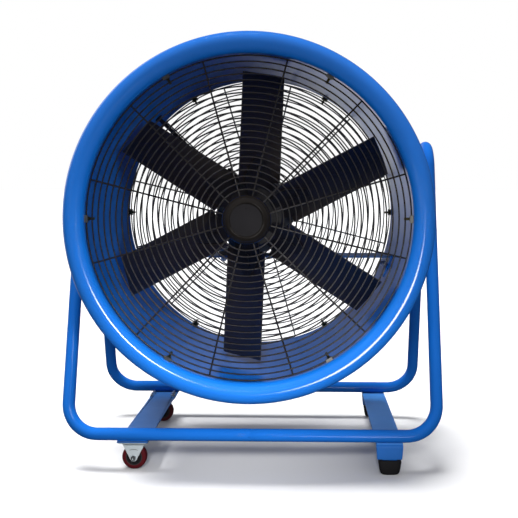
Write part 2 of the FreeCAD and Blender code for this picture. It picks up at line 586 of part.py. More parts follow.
blade = sector(RC - BLADE_T / 2, RC + BLADE_T / 2, BLADE_CHORD / 2, AXIS_Z + BLADE_R0, AXIS_Z + TIP_R + 10)
blade = blade.common(Part.makeCylinder(TIP_R, 200, V(0, Y_IMP - 100, AXIS_Z), DY))
arm = sector(RC - BLADE_T / 2 - ARM_T, RC - BLADE_T / 2, 39.0, AXIS_Z + 44, AXIS_Z + 130)


def chord_pt(s, w, z):
    return uv(UM + CD[0] * s + ND[0] * w, WM + CD[1] * s + ND[1] * w, z)


tp = [chord_pt(-22, -30, AXIS_Z + 40), chord_pt(22, -30, AXIS_Z + 40), chord_pt(36, -30, AXIS_Z + 68), chord_pt(36, -30, AXIS_Z + 84),
      chord_pt(8, -30, AXIS_Z + 125), chord_pt(-8, -30, AXIS_Z + 125), chord_pt(-36, -30, AXIS_Z + 84), chord_pt(-36, -30, AXIS_Z + 68)]
nvec = uv(ND[0], ND[1], 0) - uv(0, 0, 0)
trap = Part.Face(Part.makePolygon(tp + [tp[0]])).extrude(nvec * 60.0)
arm = arm.common(trap)
bh, bolts1 = [], []
for rho in (84.0, 102.0):
    p = chord_pt(0, BLADE_T / 2 + ARM_T, AXIS_Z + rho)
    q = chord_pt(0, -12.0, AXIS_Z + rho)
    bh.append(Part.makeCylinder(3.0, 30.0, q, nvec))
    head = Part.makeCylinder(5.0, 3.2, p + nvec * 0.05, nvec)
    shank = Part.makeCylinder(3.0, BLADE_T + ARM_T + 9.0, chord_pt(0, -BLADE_T / 2 - 8.0, AXIS_Z + rho), nvec)
    nut = hexa(10.0, 5.0, tuple(chord_pt(0, -BLADE_T / 2 - 5.05, AXIS_Z + rho)), tuple(nvec))
    bolts1.append(fuse([shank, head, nut]))
blade = blade.cut(Part.makeCompound(bh))
arm = arm.cut(Part.makeCompound(bh))
angs = [BLADE_A0 - 90.0 + 360.0 / BLADE_N * k for k in range(BLADE_N)]
save("impeller_blades", [turn(blade, a) for a in angs])
save("blade_bolts", [turn(s, a) for a in angs for s in bolts1])

YD0, YD1 = Y_IMP - ARM_T, Y_IMP
dish = turned([(26.0, YD0), (HUB_R - 4.0, YD0), (HUB_R, YD0 + 4.0), (HUB_R, Y_IMP + 20.0), (HUB_R - ARM_T, Y_IMP + 20.0),
               (HUB_R - ARM_T, YD1 + 2.5), (HUB_R - 6.0, YD1), (26.0, YD1)])
hub_boss = turned([(12.0, Y_IMP - 20.0), (27.0, Y_IMP - 20.0), (29.0, Y_IMP - 18.0), (29.0, Y_IMP + 24.0), (12.0, Y_IMP + 24.0)])
hub = fuse([dish, hub_boss] + [turn(arm, a) for a in angs])
save("impeller_hub", hub)
save("motor_shaft", turned([(0, Y_IMP - 18), (12.0, Y_IMP - 18), (12.0, -46), (12.5, -46), (12.5, 164), (0, 164)])
     .cut(cyl(4.0, 30, (0, Y_IMP - 20, AXIS_Z), (0, 1, 0))))
hw_y = Y_IMP - 20.0
washer = turned([(4.0, hw_y - 3.5), (20.0, hw_y - 3.5), (20.0, hw_y), (4.0, hw_y)])
hbolt = fuse([cyl(4.0, 26.0, (0, hw_y - 3.5, AXIS_Z), (0, 1, 0)), hexa(13.0, 5.5, (0, hw_y - 9.0, AXIS_Z), (0, 1, 0))])
save("hub_bolt", [washer, hbolt])
save("motor_rotor", turned([(12.5, 0), (42.0, 0), (42.0, 100), (12.5, 100)]))
cf = [turned([(12.5, 140), (24, 140), (24, 164), (12.5, 164)]), turned([(20, 140), (72, 140), (72, 142.5), (20, 142.5)])]
for k in range(6):
    cf.append(turn(box(20, 70, 142, 164, AXIS_Z - 1.2, AXIS_Z + 1.2), 60.0 * k))
save("cooling_fan", fuse(cf))
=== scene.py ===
import bpy, bmesh, json, math
from mathutils import Vector, Matrix

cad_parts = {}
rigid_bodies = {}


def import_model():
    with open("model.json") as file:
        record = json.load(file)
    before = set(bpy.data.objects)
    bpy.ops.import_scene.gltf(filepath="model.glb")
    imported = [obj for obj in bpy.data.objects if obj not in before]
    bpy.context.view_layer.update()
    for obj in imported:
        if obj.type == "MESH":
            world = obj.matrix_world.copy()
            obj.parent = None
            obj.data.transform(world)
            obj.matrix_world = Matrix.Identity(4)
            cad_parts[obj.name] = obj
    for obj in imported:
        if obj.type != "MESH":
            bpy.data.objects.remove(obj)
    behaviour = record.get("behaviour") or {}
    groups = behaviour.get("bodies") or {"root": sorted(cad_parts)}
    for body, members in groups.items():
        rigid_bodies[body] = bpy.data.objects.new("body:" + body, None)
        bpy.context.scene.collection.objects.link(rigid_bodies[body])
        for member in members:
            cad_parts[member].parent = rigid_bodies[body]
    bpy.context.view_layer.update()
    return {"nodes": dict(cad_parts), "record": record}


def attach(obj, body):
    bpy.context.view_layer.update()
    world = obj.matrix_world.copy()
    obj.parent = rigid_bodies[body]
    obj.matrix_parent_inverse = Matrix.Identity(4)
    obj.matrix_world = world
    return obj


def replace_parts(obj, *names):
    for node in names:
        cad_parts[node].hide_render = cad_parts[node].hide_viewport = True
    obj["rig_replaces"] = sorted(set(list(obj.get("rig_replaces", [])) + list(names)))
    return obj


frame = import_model()
NODES = frame["nodes"]
BODY = {n: b for b, ns in frame["record"]["behaviour"]["bodies"].items() for n in ns}
SLOT = {s["node"]: s["material_slot"] for s in frame["record"]["subparts"]}
scene = bpy.context.scene
MM = 0.001

# --------------------------------------------------------------- dimensions
# the same driving sizes as the construction, millimetres
YS, BAR_HALF, BAR_Z, LEG_X = 63.0, 205.0, 75.0, 374.0
TUBE_R, CORNER_R, APEX_R, APEX_Z = 12.7, 62.0, 60.0, 602.0
AXIS_Z, DRUM_RI, DRUM_RO = 514.0, 312.0, 313.5
LIP_C, LIP_T, LIP_END, COLLAR = 20.0, 1.5, 42.0, 30.0
Y_LIP_F, Y_LIP_R = -227.0, 193.0
LIP_RC = DRUM_RI + LIP_C + LIP_T / 2.0
GR_R, GR_WIRE, GR_SPOKE, GR_PITCH, GR_RINGS = 308.5, 1.5, 1.7, 12.0, 22
GR_SAG, GR_SPOKES, GR_SPOKE0, Y_GR = 44.0, 12, 16.0, -226.0
CAP_Y = -283.0
CAS_X, WHEEL_R = -239.5, 25.0
CAS_Y = {"front": -124.0, "rear": 224.0}
FOOT_X = 278.0
Y_BF, Y_BR = YS - BAR_HALF, YS + BAR_HALF
Y_MID = (Y_LIP_F + Y_LIP_R) / 2.0


# ---------------------------------------------------------------- materials
def new_mat(name):
    m = bpy.data.materials.new(name)
    m.use_nodes = True
    nt = m.node_tree
    nt.nodes.clear()
    out = nt.nodes.new("ShaderNodeOutputMaterial")
    p = nt.nodes.new("ShaderNodeBsdfPrincipled")
    nt.links.new(p.outputs["BSDF"], out.inputs["Surface"])
    return m, nt, p


def coords(nt, scale=(1, 1, 1)):
    tc = nt.nodes.new("ShaderNodeTexCoord")
    mp = nt.nodes.new("ShaderNodeMapping")
    mp.inputs["Scale"].default_value = scale
    nt.links.new(tc.outputs["Object"], mp.inputs["Vector"])
    return mp.outputs["Vector"]


def noise(nt, vec, scale, detail=3.0, rough=0.5):
    n = nt.nodes.new("ShaderNodeTexNoise")
    n.inputs["Scale"].default_value = scale
    n.inputs["Detail"].default_value = detail
    n.inputs["Roughness"].default_value = rough
    nt.links.new(vec, n.inputs["Vector"])
    return n.outputs["Fac"]


def ramp(nt, fac, stops):
    r = nt.nodes.new("ShaderNodeValToRGB")
    els = r.color_ramp.elements
    while len(els) < len(stops):
        els.new(0.5)
    for e, (pos, col) in zip(els, stops):
        e.position = pos
        e.color = (*col, 1.0) if len(col) == 3 else col
    nt.links.new(fac, r.inputs["Fac"])
    return r.outputs["Color"]


def span(nt, fac, lo, hi):
    r = nt.nodes.new("ShaderNodeMapRange")
    r.inputs["To Min"].default_value = lo
    r.inputs["To Max"].default_value = hi
    nt.links.new(fac, r.inputs["Value"])
    return r.outputs["Result"]


def bump(nt, p, height, strength, dist):
    b = nt.nodes.new("ShaderNodeBump")
    b.inputs["Strength"].default_value = strength
    b.inputs["Distance"].default_value = dist
    nt.links.new(height, b.inputs["Height"])
    nt.links.new(b.outputs["Normal"], p.inputs["Normal"])


def put(p, **kw):
    for k, v in kw.items():
        p.inputs[k.replace("_", " ")].default_value = v


def scaled(c, f):
    return tuple(min(1.0, x * f) for x in c)


def paint(name, col, rough=(0.2, 0.3), coat=0.0, coat_rough=0.08, coat_ior=1.5, peel=0.06, vary=0.06, spec=0.5, peel_scale=700.0):
    """Sprayed or powder-coated metal: slow colour drift, orange peel."""
    m, nt, p = new_mat(name)
    v = coords(nt)
    slow = noise(nt, v, 7.0, 4.0)
    nt.links.new(ramp(nt, slow, [(0.3, scaled(col, 1 - vary)), (0.7, scaled(col, 1 + vary))]), p.inputs["Base Color"])
    fine = noise(nt, v, 60.0, 5.0)
    nt.links.new(span(nt, fine, rough[0], rough[1]), p.inputs["Roughness"])
    put(p, Specular_IOR_Level=spec)
    if coat:
        put(p, Coat_Weight=coat, Coat_Roughness=coat_rough, Coat_IOR=coat_ior)
    bump(nt, p, noise(nt, v, peel_scale, 2.0), peel, 0.0004)
    return m


def metal(name, col, rough=(0.25, 0.4), stretch=(1, 1, 1), scale=180.0, aniso=0.0, peel=0.05):
    m, nt, p = new_mat(name)
    v = coords(nt, stretch)
    n = noise(nt, v, scale, 4.0, 0.6)
    nt.links.new(ramp(nt, n, [(0.3, scaled(col, 0.86)), (0.7, scaled(col, 1.08))]), p.inputs["Base Color"])
    nt.links.new(span(nt, noise(nt, v, scale * 0.4, 3.0), rough[0], rough[1]), p.inputs["Roughness"])
    put(p, Metallic=1.0, Anisotropic=aniso)
    bump(nt, p, n, peel, 0.0003)
    return m


def plastic(name, col, rough=(0.42, 0.55), grain=900.0, peel=0.12, spec=0.45, vary=0.1):
    m, nt, p = new_mat(name)
    v = coords(nt)
    nt.links.new(ramp(nt, noise(nt, v, 25.0, 4.0), [(0.3, scaled(col, 1 - vary)), (0.7, scaled(col, 1 + vary))]), p.inputs["Base Color"])
    nt.links.new(span(nt, noise(nt, v, 140.0, 3.0), rough[0], rough[1]), p.inputs["Roughness"])
    put(p, Specular_IOR_Level=spec)
    bump(nt, p, noise(nt, v, grain, 3.0), peel, 0.0003)
    return m


BLUE = (0.006, 0.158, 0.640)
M = {
    "blue_paint": paint("blue_paint", BLUE, rough=(0.30, 0.38), coat=1.0, coat_rough=0.13, coat_ior=2.0, peel=0.02, vary=0.05, spec=0.0),
    "blue_tube": paint("blue_tube", (0.009, 0.140, 0.570), rough=(0.30, 0.38), coat=0.5, coat_rough=0.14, coat_ior=1.5, peel=0.02, vary=0.05, spec=0.0),
    "blue_inside": paint("blue_inside", BLUE, rough=(0.28, 0.34), peel=0.05, vary=0.06, spec=0.25),
    "blue_plate": paint("blue_plate", (0.036, 0.130, 0.370), rough=(0.42, 0.55), peel=0.12, vary=0.09, peel_scale=420.0, spec=0.35),
    "black_wire": paint("black_wire", (0.010, 0.0085, 0.0080), rough=(0.22, 0.28), peel=0.03, vary=0.2, spec=0.7),
    "black_satin": paint("black_satin", (0.006, 0.0055, 0.007), rough=(0.32, 0.42), peel=0.05, vary=0.2, spec=0.4),
    # lighter blue for the upward faces of the foot bar: a painted highlight standing in for the overhead light
    "blue_painted_lit_top": paint("blue_painted_lit_top", (0.070, 0.270, 0.700), rough=(0.42, 0.55), peel=0.12, vary=0.09, peel_scale=420.0, spec=0.35),
    "blue_foot": paint("blue_foot", (0.010, 0.135, 0.500), rough=(0.40, 0.52), peel=0.08, vary=0.07, peel_scale=420.0, spec=0.3),
    "grey_wire": paint("grey_wire", (0.045, 0.045, 0.050), rough=(0.30, 0.40), peel=0.03, vary=0.2, spec=0.5),
    "black_blade": paint("black_blade", (0.0090, 0.0066, 0.0060), rough=(0.29, 0.36), peel=0.05, vary=0.2, spec=0.7),
    "motor_grey": paint("motor_grey", (0.030, 0.033, 0.038), rough=(0.42, 0.55), peel=0.2, vary=0.12, peel_scale=350.0),
    "cast_alloy": metal("cast_alloy", (0.50, 0.51, 0.53), rough=(0.42, 0.58), scale=420.0, peel=0.25),
    "zinc": metal("zinc", (0.72, 0.77, 0.80), rough=(0.22, 0.36), scale=160.0, peel=0.05),
    "bright_zinc": paint("bright_zinc", (0.56, 0.62, 0.65), rough=(0.30, 0.40), peel=0.04, vary=0.05, spec=0.6),
    "clip_zinc": metal("clip_zinc", (0.26, 0.26, 0.24), rough=(0.45, 0.58), scale=300.0),
    "yellow_zinc": metal("yellow_zinc", (0.72, 0.52, 0.24), rough=(0.25, 0.4), scale=300.0),
    "dull_brass": metal("dull_brass", (0.13, 0.11, 0.05), rough=(0.42, 0.55), scale=300.0),
    "steel": metal("steel", (0.46, 0.46, 0.48), rough=(0.24, 0.36), stretch=(1, 12, 1), scale=220.0, aniso=0.3),
    "copper": metal("copper", (0.60, 0.27, 0.13), rough=(0.3, 0.45), stretch=(1, 30, 1), scale=120.0),
    "black_rubber": plastic("black_rubber", (0.009, 0.0085, 0.010), rough=(0.5, 0.65), grain=1400.0, peel=0.2, spec=0.2),
    "black_plastic": plastic("black_plastic", (0.014, 0.013, 0.014), rough=(0.36, 0.5), grain=1500.0, peel=0.1),
    "cap_plastic": plastic("cap_plastic", (0.006, 0.005, 0.0045), rough=(0.10, 0.14), grain=1600.0, peel=0.02, spec=0.35),
    "cap_disc": plastic("cap_disc", (0.0095, 0.0090, 0.0100), rough=(0.5, 0.62), grain=1600.0, peel=0.1, spec=0.08),
    "red_tread": plastic("red_tread", (0.095, 0.0065, 0.0105), rough=(0.38, 0.5), grain=500.0, peel=0.08, vary=0.14, spec=0.25),
    "core_ring": plastic("core_ring", (0.05, 0.048, 0.048), rough=(0.4, 0.5)),
    "grey_plastic": plastic("grey_plastic", (0.36, 0.36, 0.35), rough=(0.35, 0.5)),
}


# -------------------------------------------------------------- mesh helpers
def to_obj(name, bm, mat, body, smooth=math.radians(35), nodes=()):
    bmesh.ops.recalc_face_normals(bm, faces=bm.faces[:])
    me = bpy.data.meshes.new(name)
    bm.to_mesh(me)
    bm.free()
    for f in me.polygons:
        f.use_smooth = True
    if smooth is not None:
        me.set_sharp_from_angle(angle=smooth)
    o = bpy.data.objects.new(name, me)
    scene.collection.objects.link(o)
    for mt in (mat if isinstance(mat, (list, tuple)) else [mat]):
        me.materials.append(M[mt])
    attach(o, body)
    if nodes:
        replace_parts(o, *nodes)
    return o


def add_lathe(bm, prof, segs, place, closed=True, mat=None):
    """Revolve prof [(r, h)] about a local axis; place(r, ang, h) gives metres.
    Points on the axis are shared."""
    rows = []
    for r, h in prof:
        if r < 1e-6:
            rows.append([bm.verts.new(place(0.0, 0.0, h))])
        else:
            rows.append([bm.verts.new(place(r, 2 * math.pi * k / segs, h)) for k in range(segs)])
    n = len(rows)
    for i in range(n if closed else n - 1):
        a, b = rows[i], rows[(i + 1) % n]
        if len(a) == 1 and len(b) == 1:
            continue
        for k in range(segs):
            k2 = (k + 1) % segs
            if len(a) == 1:
                f = bm.faces.new((a[0], b[k2], b[k]))
            elif len(b) == 1:
                f = bm.faces.new((a[k], a[k2], b[0]))
            else:
                f = bm.faces.new((a[k], a[k2], b[k2], b[k]))
            if mat is not None:
                f.material_index = mat(i)


def about_fan(r, a, h):
    return (r * math.cos(a) * MM, h * MM, (AXIS_Z + r * math.sin(a)) * MM)


def about_wheel(cy):
    return lambda r, a, h: ((CAS_X + r * math.cos(a)) * MM, (cy + h) * MM, (WHEEL_R + r * math.sin(a)) * MM)


def flip_y(y):
    return 2 * Y_MID - y


def add_sweep(bm, pts, rad, sides=16, closed=False, caps=True, ref=None):
    """Round wire along points in millimetres, with turning-free frames.
    rad is a number or a list."""
    pts = [Vector(p) for p in pts]
    n = len(pts)
    tang = []
    for i in range(n):
        if closed:
            t = pts[(i + 1) % n] - pts[i - 1]
        else:
            t = pts[min(i + 1, n - 1)] - pts[max(i - 1, 0)]
        tang.append(t.normalized())
    u = Vector(ref) if ref is not None else Vector((0, 0, 1))
    if abs(u.dot(tang[0])) > 0.95:
        u = Vector((1, 0, 0))
    rings = []
    for i in range(n):
        t = tang[i]
        u = (u - t * u.dot(t)).normalized()
        w = t.cross(u)
        r = rad[i] if isinstance(rad, (list, tuple)) else rad
        rings.append([bm.verts.new((pts[i] + (u * math.cos(2 * math.pi * k / sides) + w * math.sin(2 * math.pi * k / sides)) * r) * MM) for k in range(sides)])
    for i in range(n if closed else n - 1):
        a, b = rings[i], rings[(i + 1) % n]
        for k in range(sides):
            k2 = (k + 1) % sides
            bm.faces.new((a[k], a[k2], b[k2], b[k]))
    if caps and not closed:
        bm.faces.new(list(reversed(rings[0])))
        bm.faces.new(rings[-1])


def refine(node, bevel=0.4, mat=None, segs=2, angle=32.0, pick=None):
    """Stand-in for a CAD node with its tessellation welded and its edges
    eased, so that they catch the light."""
    src = NODES[node]
    bm = bmesh.new()
    bm.from_mesh(src.data)
    bmesh.ops.remove_doubles(bm, verts=bm.verts[:], dist=1e-6)
    slot = SLOT[node]
    if pick:
        bm.normal_update()
        for f in bm.faces:
            f.material_index = 1 if pick(f) else 0
    o = to_obj(node + "_fine", bm, mat or slot, BODY[node], None, (node,))
    md = o.modifiers.new("eased", "BEVEL")
    md.width = bevel * MM
    md.segments = segs
    md.limit_method = "ANGLE"
    md.angle_limit = math.radians(angle)
    md.harden_normals = False
    md.use_clamp_overlap = True
    wn = o.modifiers.new("normals", "WEIGHTED_NORMAL")
    wn.keep_sharp = True
    wn.weight = 60
    o.data.set_sharp_from_angle(angle=math.radians(60))
    return o


# ------------------------------------------------------------ drum and lips
def lip_profile():
    pts = [(DRUM_RI, Y_LIP_F + COLLAR)]
    ro, ri = LIP_C + LIP_T / 2, LIP_C - LIP_T / 2
    n = 44
    for k in range(n + 1):
        a = math.radians(180.0 - (180.0 + LIP_END) * k / n)
        pts.append((LIP_RC + ro * math.cos(a), Y_LIP_F - ro * math.sin(a)))
    # rounded cut edge
    ae = math.radians(-LIP_END)
    for k in range(1, 6):
        b = math.radians(90.0 - 180.0 * k / 6.0)
        rr = LIP_C + LIP_T / 2 * math.sin(b)
        off = LIP_T / 2 * math.cos(b) / LIP_C
        pts.append((LIP_RC + rr * math.cos(ae - off * 0.5), Y_LIP_F - rr * math.sin(ae - off * 0.5)))
    for k in range(n + 1):
        a = math.radians(-LIP_END + (180.0 + LIP_END) * k / n)
        pts.append((LIP_RC + ri * math.cos(a), Y_LIP_F - ri * math.sin(a)))
    pts.append((DRUM_RO, Y_LIP_F + COLLAR))
    return pts


for nm, fl in (("front_bell_ring", False), ("rear_bell_ring", True)):
    bm = bmesh.new()
    prof = [(r, flip_y(y) if fl else y) for r, y in lip_profile()]
    add_lathe(bm, prof, 288, about_fan, mat=lambda i: 1 if i == 0 else 0)
    to_obj(nm + "_rolled", bm, ["blue_paint", "blue_inside"], "head", math.radians(50), (nm,))

bm = bmesh.new()
y0, y1 = Y_LIP_F + COLLAR, Y_LIP_R - COLLAR
ys = [y0 + (y1 - y0) * k / 10.0 for k in range(11)]
add_lathe(bm, [(DRUM_RI, y) for y in ys] + [(DRUM_RO, y) for y in reversed(ys)], 288, about_fan, mat=lambda i: 1 if i < 10 else 0)
to_obj("drum_shell_rolled", bm, ["blue_paint", "blue_inside"], "head", math.radians(50), ("drum_shell",))


def ripple_bead(bm, fn, n, half, high, closed=False):
    """Weld bead: fn(i) gives centre, across and outward vectors in millimetres."""
    rows = []
    for i in range(n):
        c, across, outw = fn(i)
        k = 0.82 + 0.18 * math.cos(i * 2.1) * math.cos(i * 0.37)
        rows.append([bm.verts.new((c + across * (half * k * s) + outw * (high * k * h)) * MM)
                     for s, h in ((-1, -0.25), (-0.7, 0.55), (0, 1.0), (0.7, 0.55), (1, -0.25), (0, -0.45))])
    m = len(rows)
    for i in range(m if closed else m - 1):
        a, b = rows[i], rows[(i + 1) % m]
        for k in range(6):
            k2 = (k + 1) % 6
            bm.faces.new((a[k], a[k2], b[k2], b[k]))
    if not closed:
        bm.faces.new(rows[0])
        bm.faces.new(list(reversed(rows[-1])))


def fan_dir(a):
    return Vector((math.cos(a), 0, math.sin(a)))


bm = bmesh.new()
for yj in (y0, y1):
    def ring_bead(i, yj=yj):
        d = fan_dir(2 * math.pi * i / 520.0)
        return Vector((0, yj, AXIS_Z)) + d * DRUM_RO, Vector((0, 1, 0)), d
    ripple_bead(bm, ring_bead, 520, 2.0, 0.7, True)
sa = math.radians(-68.0)


def seam(i):
    return Vector((0, y0 + 3 + (y1 - y0 - 6) * i / 150.0, AXIS_Z)) + fan_dir(sa) * DRUM_RO, fan_dir(sa + math.pi / 2), fan_dir(sa)


ripple_bead(bm, seam, 151, 2.2, 0.7)
to_obj("drum_weld_seams", bm, "blue_paint", "head", math.radians(60))

# ------------------------------------------------------------------ grilles
R_DOME = (GR_R ** 2 + GR_SAG ** 2) / (2.0 * GR_SAG)
Y_CEN = Y_GR - GR_SAG + R_DOME
RS = R_DOME - GR_WIRE - GR_SPOKE + 0.25
SP_IN = 24.0


def dome_y(r, rad=R_DOME):
    return Y_CEN - math.sqrt(rad * rad - r * r)


Y_PL = dome_y(SP_IN, RS) + GR_SPOKE + 0.35
for nm, fl in (("front_grille", False), ("rear_grille", True)):
    def fy(y, fl=fl):
        return flip_y(y) if fl else y
    bm = bmesh.new()
    for k in range(GR_RINGS):
        r = GR_R - GR_PITCH * k
        n = max(72, int(r * 0.62))
        ring = [(r * math.cos(2 * math.pi * i / n), fy(dome_y(r)), AXIS_Z + r * math.sin(2 * math.pi * i / n)) for i in range(n)]
        add_sweep(bm, ring, GR_WIRE, 10, True, ref=(0, 1, 0))
    for k in range(GR_SPOKES):
        a = math.radians(GR_SPOKE0 + 360.0 / GR_SPOKES * k)
        line = []
        for i in range(41):
            r = SP_IN + (GR_R + 0.4 - SP_IN) * i / 40.0
            line.append((r * math.cos(a), fy(dome_y(r, RS)), AXIS_Z + r * math.sin(a)))
        add_sweep(bm, line, GR_SPOKE, 12, ref=(0, 1, 0))
        # small weld nuggets where a ring crosses
        for j in range(GR_RINGS):
            r = GR_R - GR_PITCH * j
            if r < 60.0:
                continue
            c = Vector((r * math.cos(a), fy(dome_y(r) + GR_WIRE * 0.95), AXIS_Z + r * math.sin(a)))
            t = Vector((-math.sin(a), 0, math.cos(a)))
            add_sweep(bm, [c - t * 2.3, c - t * 1.3, c + t * 1.3, c + t * 2.3], [0.5, 1.15, 1.15, 0.5], 8)
    add_lathe(bm, [(0.0, fy(Y_PL)), (42.2, fy(Y_PL)), (43.0, fy(Y_PL + 0.6)), (43.0, fy(Y_PL + 1.5)), (42.4, fy(Y_PL + 2.0)), (0.0, fy(Y_PL + 2.0))], 96, about_fan, False)
    to_obj(nm + "_wires", bm, "grey_wire" if fl else "black_wire", "head", math.radians(50), (nm,))


# front cap: smooth dished moulding with a bare recessed disc
def smooth_profile(ctrl, n=8):
    """Catmull-Rom through the control points."""
    out = []
    for i in range(len(ctrl) - 1):
        p0 = ctrl[max(i - 1, 0)]
        p1, p2 = ctrl[i], ctrl[i + 1]
        p3 = ctrl[min(i + 2, len(ctrl) - 1)]
        for k in range(n):
            t = k / n
            out.append(tuple(0.5 * ((2 * b) + (-a + c) * t + (2 * a - 5 * b + 4 * c - d) * t * t + (-a + 3 * b - 3 * c + d) * t ** 3)
                             for a, b, c, d in zip(p0, p1, p2, p3)))
    out.append(ctrl[-1])
    return out


Y_RIM = dome_y(45.0, RS) - GR_SPOKE - 0.1
rim = smooth_profile([(30.3, CAP_Y + 3.0), (31.0, CAP_Y + 1.0), (33.0, CAP_Y + 0.05), (36.5, CAP_Y + 1.9), (40.5, Y_RIM - 9.5), (44.2, Y_RIM - 4.6), (45.9, Y_RIM - 0.6)], 7)
prof = [(0.0, CAP_Y + 3.0), (28.8, CAP_Y + 3.0), (29.6, CAP_Y + 3.35), (30.0, CAP_Y + 3.3)] + rim
prof += [(45.2, Y_RIM), (43.8, Y_RIM), (41.8, Y_RIM - 4.0), (33.4, CAP_Y + 3.2), (31.8, CAP_Y + 5.2), (0.0, CAP_Y + 5.2)]
bm = bmesh.new()
add_lathe(bm, prof, 128, about_fan, False, mat=lambda i: 1 if i < 2 else 0)
add_lathe(bm, [(0.0, CAP_Y + 5.0), (6.0, CAP_Y + 5.0), (6.0, Y_PL), (0.0, Y_PL)], 32, about_fan, False)
add_lathe(bm, [(0.0, CAP_Y + 2.45), (0.75, CAP_Y + 2.6), (1.1, CAP_Y + 3.02)], 16,
          lambda r, a, h: (r * math.cos(a) * MM, h * MM, (AXIS_Z + 21.0 + r * math.sin(a)) * MM), False)
to_obj("grille_cap_moulded", bm, ["cap_plastic", "cap_disc"], "head", math.radians(40), ("grille_cap",))

# -------------------------------------------------------------------- stand
dist = math.hypot(BAR_HALF, APEX_Z - BAR_Z)
LEAN = math.atan2(BAR_HALF, APEX_Z - BAR_Z) - math.asin(APEX_R / dist)
SL, CL = math.sin(LEAN), math.cos(LEAN)


def arc_pts(p, d1, d2, r, n):
    ax = d1.cross(d2)
    ang = math.atan2(ax.length, d1.dot(d2))
    ax.normalize()
    c = p + ax.cross(d1) * r
    return [c + Matrix.Rotation(ang * k / n, 3, ax) @ (p - c) for k in range(1, n + 1)]


def run_pts(p, q, n):
    return [p + (q - p) * (k / n) for k in range(1, n + 1)]


for side, sx in (("left", -1.0), ("right", 1.0)):
    out = Vector((sx, 0, 0))
    up_f, dn_r = Vector((0, SL, CL)), Vector((0, SL, -CL))
    path = [Vector((sx * 0.02, Y_BF, BAR_Z)), Vector((sx * 0.12, Y_BF, BAR_Z))]
    rad = [TUBE_R - 0.1, TUBE_R]
    path += run_pts(path[-1], Vector((sx * (LEG_X - CORNER_R), Y_BF, BAR_Z)), 10)
    path += arc_pts(path[-1], out, up_f, CORNER_R, 20)
    path += run_pts(path[-1], Vector((sx * LEG_X, YS - APEX_R * CL, APEX_Z + APEX_R * SL)), 14)
    path += arc_pts(path[-1], up_f, dn_r, APEX_R, 30)
    path += run_pts(path[-1], Vector((sx * LEG_X, Y_BR, BAR_Z)) - dn_r * CORNER_R, 14)
    path += arc_pts(path[-1], dn_r, -out, CORNER_R, 20)
    path += run_pts(path[-1], Vector((sx * 0.12, Y_BR, BAR_Z)), 10)
    path.append(Vector((sx * 0.02, Y_BR, BAR_Z)))
    rad += [TUBE_R] * (len(path) - 3) + [TUBE_R - 0.1]
    bm = bmesh.new()
    add_sweep(bm, path, rad, 48, ref=(0, 1, 0))
    to_obj("stand_tube_%s_bent" % side, bm, "blue_tube", "stand", math.radians(60), ("stand_tube_" + side,))

# rivets that pin the inner sleeves, front and rear bar
for nm, yb, s in (("front", Y_BF, -1.0), ("rear", Y_BR, 1.0)):
    bm = bmesh.new()
    for dx in (-3.6,):
        def rv(r, a, h, dx=dx):
            return ((dx + r * math.cos(a)) * MM, (yb + s * h) * MM, (BAR_Z + r * math.sin(a)) * MM)
        add_lathe(bm, [(0.0, 13.7), (0.9, 13.65), (1.7, 13.4), (2.2, 13.0), (2.4, 12.5), (2.1, 11.6), (0.0, 11.6)], 24, rv, False)
    to_obj("sleeve_rivets_" + nm, bm, "blue_tube", "stand", math.radians(60))

# weld beads between the bars and what hangs under them
bm = bmesh.new()
for yb in (Y_BF, Y_BR):
    for x0, x1 in ((CAS_X - 31.5, CAS_X + 31.5), (FOOT_X - 26, FOOT_X + 26)):
        for s in (-1.0, 1.0):
            if x0 > 0 and (yb < 0) == (s < 0):
                continue
            def line(i, yb=yb, x0=x0, x1=x1, s=s):
                return (Vector((x0 + 1 + (x1 - x0 - 2) * i / 40.0, yb + s * 6.6, BAR_Z - TUBE_R + 1.2)),
                        Vector((0, s * 0.94, 0.34)), Vector((0, s * 0.34, 0.94)))
            ripple_bead(bm, line, 41, 2.6, 1.6)
for sx in (-1.0, 1.0):
    for s in (-1.0, 1.0):
        d = Vector((0, -s * SL, CL))
        for off in (-1.0, 1.0):
            def leg(i, sx=sx, s=s, d=d, off=off):
                z = AXIS_Z - 18 + 36.0 * i / 30.0
                c = Vector((sx * LEG_X, YS + s * BAR_HALF, BAR_Z)) + d * ((z - BAR_Z) / CL)
                inn = Vector((0, -s * CL, -SL))
                return c + inn * (TUBE_R - 0.2) + Vector((off * 3.0, 0, 0)), Vector((off * 0.6, 0, 0)) + inn * 0.8, Vector((off * 0.8, 0, 0)) - inn * 0.2
            ripple_bead(bm, leg, 31, 2.0, 1.2)
to_obj("stand_welds", bm, "blue_tube", "stand", math.radians(60))

